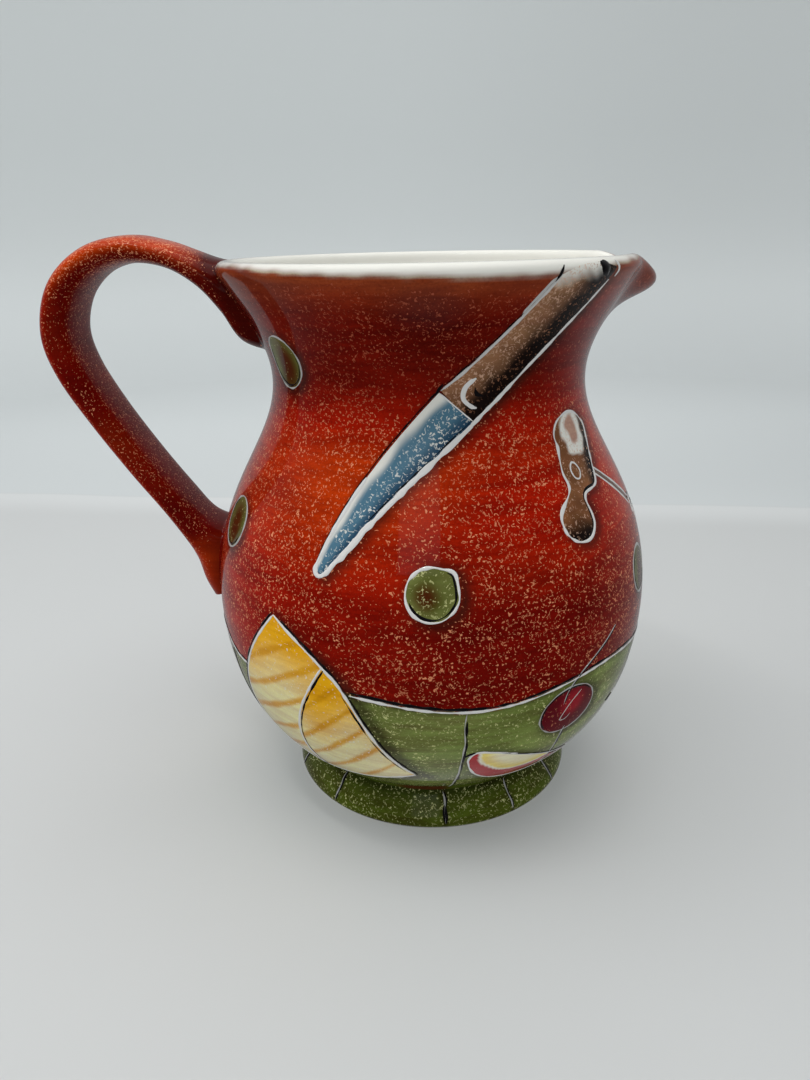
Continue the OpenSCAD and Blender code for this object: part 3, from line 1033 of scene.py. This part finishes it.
# The far side
add_knife((212, 143), 150, turn=-168, mirror=True)
add_corkscrew((146, 122), 250, turn=24, mirror=True)
add_olive((180, 97), 708, turn=60)
add_olive((160, 165), 710, turn=120)
add_olive((239, 103), 712, turn=200)
add_olive((108, 94), 714, turn=80)
add_olive((252, 140), 720, turn=80, size=0.9)
add_olive((104, 132), 722, turn=10, size=0.95)
add_cheese((152, 56), 350)
add_cheese((263, 56), 360, mirror=True)
add_cherry((221, 55), 450)
add_cherry((95, 55), 460, mirror=True)
add_slice((205, 36), 550, mirror=True)
add_slice((70, 37), 560)
add_band()


# ---------------------------------------------------------------- paint on the forms
shadow_tree = KDTree(sum(len(o) for o in outlines_done))
for index, point in enumerate(np.concatenate(outlines_done)):
    shadow_tree.insert(point, index)
shadow_tree.balance()


def shadow_at(points, shift=0.8, reach=4.4):
    """Dark smears round the painted shapes, most of all below and to the right."""
    dark = np.zeros(len(points))
    turn = math.radians(1.3)
    back = np.stack([points[:, 0] * math.cos(turn) + points[:, 1] * math.sin(turn),
                     points[:, 1] * math.cos(turn) - points[:, 0] * math.sin(turn),
                     points[:, 2] + shift], 1)
    for i, p in enumerate(back):
        near = shadow_tree.find(p)[2]
        if near < reach:
            dark[i] = 1 - near / reach
    return dark**1.5


def polar(points):
    """Degrees around from the front, and radius."""
    return (np.degrees(np.arctan2(points[:, 0], -points[:, 1])) % 360,
            np.hypot(points[:, 0], points[:, 1]))


LIP_EDGE_H = 187.4       # where the white lip ends, apart from its swells
LIP_EDGE_SWELLS = [(-60, 22, 2.0), (15, 22, -1.2), (SPOUT_AT, 34, 3.6)]


def lip_edge_at(turned):
    """Height of the white lip's lower edge, from swells of (centre, width, height)."""
    return LIP_EDGE_H + sum(up * np.exp(-((turned - at) / wide) ** 2)
                            for at, wide, up in LIP_EDGE_SWELLS)


def paint_red(points, z):
    """Brushed red, more orange over the belly's top and browner up the neck."""
    slow = drift(points, 90, 21)
    turned = half_turns(polar(points)[0])
    low = 94 + 24 * between(-35, 25, turned)
    redder = 1 - 0.5 * between(-28, -52, turned) * between(-110, -75, turned)
    colour = mix(RED, ORANGE, redder * (0.1 + 0.3 * slow + 0.65 * between(low, low + 34, z)
                                        * between(150, 130, z)))
    deep = 0.6 * between(126, 90, z) * between(-75, -20, turned) * between(130, 50, turned)
    deep += 0.3 * between(112, 86, z) + 0.2 * drift(points, 60, 22)
    colour = mix(colour, DEEP_RED, deep)
    colour = mix(colour, MAROON, 0.8 * between(138, 162, z) + 0.2 * drift(points, 40, 23))
    return mix(colour, BROWN, 0.45 * between(174, 186, z))


def paint_wall(obj):
    points = vertex_places(obj)
    around, r = polar(points)
    # The height before the spout's dip, to tell the lip and the inside
    push = spout_push(around, points[:, 2] + SPOUT_DIP * 0.5)
    z = points[:, 2] + SPOUT_DIP * push
    outer = r - SPOUT_REACH * push > wall.radius(np.minimum(z, RIM_H - 1)) - WALL / 2
    colour = paint_red(points, z)
    tint = mix(PINK, DULL_PINK, between(140, 158, z))
    fleck = 0.92 + 0.25 * drift(points, 45, 24) - 0.12 * between(142, 156, z)
    band = z < band_top(around)
    # Green that varies at random, darker towards the groove where the body curves in under the
    # belly: that darkening is painted shade.
    green = mix(GREEN, DARK_GREEN, 0.25 + 0.35 * drift(points, 30, 25) + between(26, 16, z))
    colour = np.where(band[:, None], green, colour)
    tint = np.where(band[:, None], PALE_GREEN, tint)
    dark = shadow_at(points)
    edge_gap = z - band_top(around)
    dark = np.maximum(dark, 0.7 * between(2.5, 0.4, np.abs(edge_gap)) * band)
    colour = mix(colour, SHADOW, 0.85 * dark)
    fleck = fleck * (1 - 0.8 * dark)
    # A brown wash under the white lip, and the lip itself
    turned = half_turns(around)
    lip_edge = lip_edge_at(turned) + 0.3 * drift(points, 30, 26) \
        + 0.3 * drift(points, 7, 27)
    colour = mix(colour, BROWN, 0.6 * between(lip_edge - 6, lip_edge - 1, z))
    fleck = fleck * between(lip_edge - 1, lip_edge - 7, z)
    white = between(lip_edge - 1.0, lip_edge + 1.0, z)
    white = np.where(outer, white, 1.0)
    colour = mix(colour, WHITE, white)
    fleck = fleck * (1 - white)
    under = (z < FOOT_H + 0.3) & (r < GROOVE_R - 0.5)
    colour = np.where(under[:, None], WHITE * 0.92, colour)
    fleck = np.where(under, 0.0, fleck)
    set_paint(obj, colour, tint, fleck)


def paint_foot(obj):
    points = vertex_places(obj)
    around, r = polar(points)
    z = points[:, 2]
    # Green that varies at random, darkening to nearly black towards the groove at the top of the
    # foot: the darkening is painted shade under the belly.
    colour = mix(FOOT_GREEN, DARK_GREEN,
                 0.3 + 0.4 * drift(points, 26, 31) + 0.5 * between(7, 12, z))
    colour = mix(colour, DARK_GREEN * 0.25, 0.85 * between(7.5, 12.5, z))
    gap = np.min([np.abs(half_turns(around - at)) for at in FOOT_SEAMS], axis=0)
    colour = mix(colour, SHADOW, 0.5 * between(2.2, 0.4, gap))
    bare = (r < FOOT_R - 3.5) & (z < 3) | (r < FOOT_R - FOOT_W + 0.5)
    colour = np.where(bare[:, None], BARE_CLAY, colour)
    colour = mix(colour, BARE_CLAY, between(1.0, 0.3, z))
    set_paint(obj, colour, PALE_GREEN, np.where(bare, 0.0, 0.9 * between(0.8, 2, z)))


def paint_joint(obj, colour, tint, fleck=0.5):
    points = vertex_places(obj)
    shade = 0.4 + 0.4 * drift(points, 30, 33)
    colour = mix(np.broadcast_to(colour, points.shape), colour * 0.6, shade)
    turned = half_turns(polar(points)[0])
    pool = between(-20, -12, turned) * between(8, 2, turned) * between(30, 16, points[:, 2])
    set_paint(obj, mix(colour, POOL, pool), tint, fleck)


def paint_handle(obj):
    points = vertex_places(obj)
    x, z = points[:, 0], points[:, 2]
    ring = strap_rings[np.argmin((x[:, None] - strap_rings[:, 0]) ** 2
                                 + (z[:, None] - strap_rings[:, 1]) ** 2, axis=1)]
    way = np.radians(ring[:, 2])
    # Through the strap: -0.5 at its inner face, 0.5 at its outer face
    through = ((x - ring[:, 0]) * np.cos(way) + (z - ring[:, 1]) * np.sin(way)) / ring[:, 3]
    # From a darkened deep red on the strap's inner face to red on its outer face: the inner
    # face's darkness is painted shade inside the loop.
    colour = mix(DEEP_RED * 0.7, RED * 0.72,
                 between(0.0, 0.4, through) + 0.2 * drift(points, 40, 34))
    colour = mix(colour, DEEP_RED, 0.7 * between(-0.2, -0.45, through))
    # Orange on the top of the arch is a painted highlight from the light above. Orange towards
    # the lower root is partly the glaze's colour and partly a painted highlight.
    colour = mix(colour, ORANGE * 0.85, 0.75 * between(176, 192, z) * between(-0.2, 0.3, through)
                 + 0.5 * between(104, 88, z) + 0.15 * drift(points, 28, 35))
    # Maroon where the strap comes close to the body: painted shade between strap and body.
    gap = wall_gap(points)
    colour = mix(colour, MAROON, 0.8 * between(14, 1, gap) * between(120, 150, z)
                 + 0.5 * between(8, 0, gap))
    fleck = 0.35 + 0.8 * between(0.1, 0.45, through) + 0.35 * between(-0.15, -0.45, through) \
        + 0.7 * between(176, 190, z)
    fleck = (fleck + 0.2 * drift(points, 30, 36)) * between(1, 10, gap)
    set_paint(obj, colour, PINK, fleck)


# ---------------------------------------------------------------- materials
class Nodes:
    """Short names for building a material's node tree."""

    def __init__(self, name):
        self.material = bpy.data.materials.new(name)
        self.material.use_nodes = True
        self.tree = self.material.node_tree
        self.shader = self.tree.nodes["Principled BSDF"]

    def add(self, kind, **settings):
        node = self.tree.nodes.new(kind)
        for key, value in settings.items():
            if key in node.inputs:
                node.inputs[key].default_value = value
            else:
                setattr(node, key, value)
        return node

    def link(self, output, target):
        self.tree.links.new(output, target)

    def noise(self, coordinates, scale, detail=2.0, roughness=0.5, distortion=0.0):
        node = self.add("ShaderNodeTexNoise", Scale=scale, Detail=detail, Roughness=roughness,
                        Distortion=distortion)
        self.link(coordinates, node.inputs["Vector"])
        return node.outputs["Fac"]

    def feed(self, sockets, values):
        """Links sockets to outputs, or sets them to plain values."""
        for socket, value in zip(sockets, values):
            if isinstance(value, bpy.types.NodeSocket):
                self.link(value, socket)
            else:
                socket.default_value = value

    def math(self, operation, *values, clamp=False):
        node = self.add("ShaderNodeMath", operation=operation, use_clamp=clamp)
        self.feed(node.inputs, values)
        return node.outputs[0]

    def times(self, a, b):
        return self.math("MULTIPLY", a, b)

    def plus(self, a, b):
        return self.math("ADD", a, b)

    def minus(self, a, b):
        return self.math("SUBTRACT", a, b)

    def between(self, low, high, value):
        node = self.add("ShaderNodeMapRange", interpolation_type="SMOOTHSTEP")
        self.feed(node.inputs, (value, low, high))
        return node.outputs["Result"]

    def mix(self, factor, a, b, blend="MIX"):
        node = self.add("ShaderNodeMix", data_type="RGBA", blend_type=blend)
        self.feed((node.inputs["Factor"], node.inputs[6], node.inputs[7]), (factor, a, b))
        return node.outputs[2]

    def stretched(self, coordinates, scale):
        node = self.add("ShaderNodeMapping")
        node.inputs["Scale"].default_value = scale
        self.link(coordinates, node.inputs["Vector"])
        return node.outputs["Vector"]

    def attribute(self, name, output):
        return self.add("ShaderNodeAttribute", attribute_name=name).outputs[output]


def glaze_material(name, streaks=1.0, flecks=True, fineness=1.0, coat=1.0):
    """Painted glaze under a clear glossy coat, with raised crystal flecks."""
    n = Nodes(name)
    place3 = n.add("ShaderNodeTexCoord").outputs["Object"]
    paint = n.attribute("paint", "Color")
    # Brush strokes that run round the pot, and fine grain of the pigment
    strokes = n.noise(n.stretched(place3, (70, 70, 620)), 1.0, 5.0, 0.6, 0.5)
    broad = n.noise(n.stretched(place3, (28, 28, 150)), 1.0, 3.0, 0.55, 0.8)
    light = n.between(0.62, 1.38, n.plus(strokes, broad))
    # White and grey paint shows no strokes
    parts = n.add("ShaderNodeSeparateColor")
    n.link(paint, parts.inputs[0])
    warm = n.minus(parts.outputs[0], parts.outputs[2])
    vivid = n.between(0.15, 0.5, n.math("DIVIDE", warm, parts.outputs[0]))
    dark = n.mix(n.times(vivid, 0.36 * streaks), (1, 1, 1, 1), (0.3, 0.16, 0.15, 1))
    bright = n.mix(n.times(vivid, 0.6 * streaks), (1, 1, 1, 1), (1.6, 2.3, 1.8, 1))
    colour = n.mix(1.0, n.mix(light, dark, bright), paint, "MULTIPLY")
    grain = n.between(0.35, 0.75, n.noise(place3, 1500, 2.0, 0.6))
    grain = n.times(grain, vivid)
    colour = n.mix(n.times(grain, 0.2 * streaks), colour, (0.0, 0.0, 0.0, 1.0))
    bump_height = n.times(n.noise(place3, 55, 2.0, 0.5), 0.55)
    if flecks:
        # Squiggles: thin level lines of one noise, kept where a second noise is high
        amount = n.attribute("fleck", "Fac")
        warped = n.noise(place3, 680 * fineness, 1.5, 0.55, 0.35)
        lines = n.between(0.040, 0.016, n.math("ABSOLUTE", n.minus(warped, 0.5)))
        cells = n.noise(place3, 960 * fineness, 1.0, 0.5)
        crowd = n.noise(place3, 60, 2.0, 0.6)
        level = n.minus(0.655, n.times(amount, 0.13))
        level = n.minus(level, n.times(n.minus(crowd, 0.5), 0.22))
        kept = n.minus(cells, level)
        spots = n.times(lines, n.between(0.0, 0.03, kept))
        more = n.times(n.minus(amount, 1.0), 0.1)
        dots = n.between(0.73, 0.77, n.plus(n.noise(place3, 1050 * fineness, 0.0, 0.5), more))
        spots = n.math("MAXIMUM", spots, dots)
        spots = n.times(spots, n.between(0.0, 0.25, amount))
        strength = n.times(n.noise(place3, 240, 1.0, 0.5), 1.5)
        spots = n.math("MULTIPLY", spots, strength, clamp=True)
        colour = n.mix(n.times(spots, 0.88), colour, n.attribute("tint", "Color"))
        bump_height = n.plus(bump_height, n.times(spots, 0.10))
    bump = n.add("ShaderNodeBump", Strength=0.35, Distance=0.0006)
    n.link(bump_height, bump.inputs["Height"])
    n.link(colour, n.shader.inputs["Base Color"])
    n.link(bump.outputs["Normal"], n.shader.inputs["Normal"])
    roughness = n.math("MULTIPLY_ADD", n.noise(place3, 130, 2.0, 0.5), 0.18, 0.24)
    n.link(roughness, n.shader.inputs["Roughness"])
    for name, value in {"IOR": 1.5, "Specular IOR Level": 0.02, "Coat Weight": coat,
                        "Coat Roughness": 0.035, "Coat IOR": 1.32}.items():
        n.shader.inputs[name].default_value = value
    return n.material


glaze = glaze_material("painted_glaze")
handle_glaze = glaze_material("handle_glaze", streaks=0.6, fineness=1.35, coat=0.55)
shape_glaze = glaze_material("shape_glaze", streaks=0.35)
line_glaze = glaze_material("line_glaze", streaks=0.25, flecks=False)


lower_rings = slice(len(strap_rings) - 1, 100, -1)
for piece, slot, node, paint, look in (
        (make_body(glaze), "red_glaze", "vessel_body", paint_wall, ()),
        (make_spout(glaze), "red_glaze", "spout", paint_wall, ()),
        (make_foot(glaze), "green_glaze", "foot_ring", paint_foot, ()),
        (make_foot_joint(glaze), "slip", "foot_joint", paint_joint,
         (DARK_GREEN, PALE_GREEN, 0.0)),
        (make_handle(handle_glaze), "red_glaze", "handle", paint_handle, ()),
        (make_root_fillet("upper_handle_fillet", slice(0, 60), glaze, 1.2), "slip",
         "upper_handle_joint", paint_joint, (MAROON, PINK)),
        (make_root_fillet("lower_handle_fillet", lower_rings, glaze, 0.9), "slip",
         "lower_handle_joint", paint_joint, (DEEP_RED, PINK))):
    paint(piece, *look)
    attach(piece, "root")
    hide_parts(node)

for painting, name, slot in (
        (knife, "painted_knives", "red_glaze"), (corkscrew, "painted_corkscrews", "red_glaze"),
        (olives, "painted_olives", "green_glaze"), (cheese, "painted_cheese", "red_glaze"),
        (fruit, "painted_fruit", "red_glaze")):
    painting.build(name, shape_glaze, slot)
white_lines.build("white_glaze_lines", line_glaze, "slip")
black_lines.build("black_glaze_lines", line_glaze, "slip")


# ---------------------------------------------------------------- studio
def turned_sheet(name, section, material):
    """A surface of a section turned about the z axis, as part of the studio."""
    n = 96
    points = [(r * math.cos(2 * math.pi * k / n), r * math.sin(2 * math.pi * k / n), z)
              for r, z in section for k in range(n)]
    faces = [(i * n + k, i * n + (k + 1) % n, (i + 1) * n + (k + 1) % n, (i + 1) * n + k)
             for i in range(len(section) - 1) for k in range(n)]
    mesh = bpy.data.meshes.new(name)
    mesh.from_pydata(points, [], [face[::-1] for face in faces])
    mesh.shade_smooth()
    mesh.materials.append(material)
    obj = bpy.data.objects.new(name, mesh)
    bpy.context.scene.collection.objects.link(obj)
    return obj


def backdrop_material():
    """Pale paper; behind the pot a darker sheet begins at a soft bright line. The line is a
    painted highlight; the paper is painted lighter farther back as painted light and darker to
    the right as painted shade, and it glows as painted light.
    """
    n = Nodes("pale_backdrop")
    place3 = n.add("ShaderNodeTexCoord").outputs["Object"]
    split = n.add("ShaderNodeSeparateXYZ")
    n.link(place3, split.inputs[0])
    x, y, z = split.outputs
    uneven = n.times(n.minus(n.noise(place3, 3.0), 0.5), 0.03)
    slant = n.plus(n.plus(n.times(x, 0.12), y), uneven)
    # A lighter band on the table where the darker sheet begins: a painted highlight line.
    painted_highlight_line = n.times(n.between(0.27, 0.318, slant), n.between(0.326, 0.32, slant))
    colour = n.mix(painted_highlight_line, (0.47, 0.477, 0.475, 1), (0.56, 0.57, 0.57, 1))
    # Lighter farther back and up the cove, then one tone higher up the wall: painted light that
    # makes up for the light falling off there.
    upright = n.between(-0.02, 0.12, z)
    far = n.math("MAXIMUM", upright, n.between(0.3, 0.65, y))
    sheet = n.mix(far, (0.50, 0.525, 0.53, 1), (0.60, 0.63, 0.635, 1))
    sheet = n.mix(n.between(0.06, 0.24, z), sheet, (0.53, 0.56, 0.565, 1))
    colour = n.mix(n.between(0.32, 0.327, slant), colour, sheet)
    shade = n.times(n.between(-0.1, 0.6, x), 0.16)
    colour = n.mix(shade, colour, (0.0, 0.0, 0.0, 1.0))
    n.link(colour, n.shader.inputs["Base Color"])
    # The paper glows, more on the upright wall: painted light that brightens the backdrop and
    # lifts the shadows on it.
    painted_glow = n.plus(n.times(upright, 0.06), 0.13)
    n.link(painted_glow, n.shader.inputs["Emission Strength"])
    n.shader.inputs["Emission Color"].default_value = (0.96, 1.0, 1.0, 1)
    n.shader.inputs["Roughness"].default_value = 0.6
    return n.material


def make_stage():
    """A pale table that curves up into a pale wall all the way round."""
    table_r, cove_r, wall_h = 0.95, 0.35, 2.4
    material = backdrop_material()
    table = turned_sheet("studio_table", [(0.0001, 0.0), (0.3, 0.0), (0.6, 0.0), (table_r, 0.0)],
                         material)
    cove = [(table_r + cove_r * math.sin(a), cove_r * (1 - math.cos(a)))
            for a in np.linspace(0, np.pi / 2, 15)]
    wall_sheet = turned_sheet("studio_wall", cove + [(table_r + cove_r, wall_h)], material)
    # The glaze mirrors the world's dark and light sides instead of the near paper
    table.visible_glossy = wall_sheet.visible_glossy = False


def add_area_light(name, place_at, aim, size, power, spread=180, mirrored=True):
    light = bpy.data.lights.new(name, "AREA")
    light.shape = "RECTANGLE"
    light.size, light.size_y = size
    light.energy = power
    light.spread = math.radians(spread)
    obj = bpy.data.objects.new(name, light)
    obj.location = place_at
    obj.rotation_euler = (Vector(aim) - Vector(place_at)).to_track_quat("-Z", "Y").to_euler()
    obj.visible_glossy = mirrored
    bpy.context.scene.collection.objects.link(obj)


def make_world():
    """A room that is dim in front of the pot, and bright behind, above and below it."""
    world = bpy.data.worlds.new("studio")
    world.use_nodes = True
    tree = world.node_tree
    split = tree.nodes.new("ShaderNodeSeparateXYZ")
    tree.links.new(tree.nodes.new("ShaderNodeTexCoord").outputs["Generated"], split.inputs[0])
    background = tree.nodes["Background"]
    strength = None
    # Towards the back, straight up and straight down: axis, start, end, power at each
    for axis, *ends in (("Y", -0.3, 0.9, 0.008, 0.30), ("Z", 0.75, 0.9, 0.0, 1.0),
                        ("Z", -0.9, -0.99, 0.0, 0.4)):
        part = tree.nodes.new("ShaderNodeMapRange")
        part.interpolation_type = "SMOOTHSTEP"
        for socket, value in zip(part.inputs[1:5], ends):
            socket.default_value = value
        tree.links.new(split.outputs[axis], part.inputs["Value"])
        if strength is None:
            strength = part.outputs["Result"]
            continue
        total = tree.nodes.new("ShaderNodeMath")
        tree.links.new(strength, total.inputs[0])
        tree.links.new(part.outputs["Result"], total.inputs[1])
        strength = total.outputs[0]
    background.inputs["Color"].default_value = (0.97, 0.985, 1.0, 1)
    tree.links.new(strength, background.inputs["Strength"])
    bpy.context.scene.world = world


def add_camera():
    """The photograph's viewpoint: a phone a little above the rim, tilted down."""
    camera = bpy.data.cameras.new("camera")
    camera.lens = 27.03
    camera.sensor_width = 36
    obj = bpy.data.objects.new("camera", camera)
    tilt_down, roll = math.radians(20.78), math.radians(-1.2)
    turned = Matrix.Rotation(math.pi / 2 - tilt_down, 4, "X") @ Matrix.Rotation(roll, 4, "Z")
    obj.matrix_world = Matrix.Translation((-0.0092, -0.2839, 0.1973)) @ turned
    bpy.context.scene.collection.objects.link(obj)
    bpy.context.scene.camera = obj


bpy.context.scene.view_settings.view_transform = "Standard"
make_stage()
TARGET = (0, 0, 0.1)
add_area_light("overhead", (0.1, -0.1, 1.5), TARGET, (1.3, 1.3), 7.7, mirrored=False)
add_area_light("left_fill", (-0.9, 0.1, 0.8), TARGET, (0.7, 0.7), 0.8, 80, mirrored=False)
add_area_light("window", (-0.11, -0.82, 0.57), TARGET, (0.34, 0.42), 0.045, 80)
add_area_light("lamp", (-0.35, -0.25, 1.2), (-0.08, 0, 0.19), (0.4, 0.035), 1.2)
make_world()
add_camera()
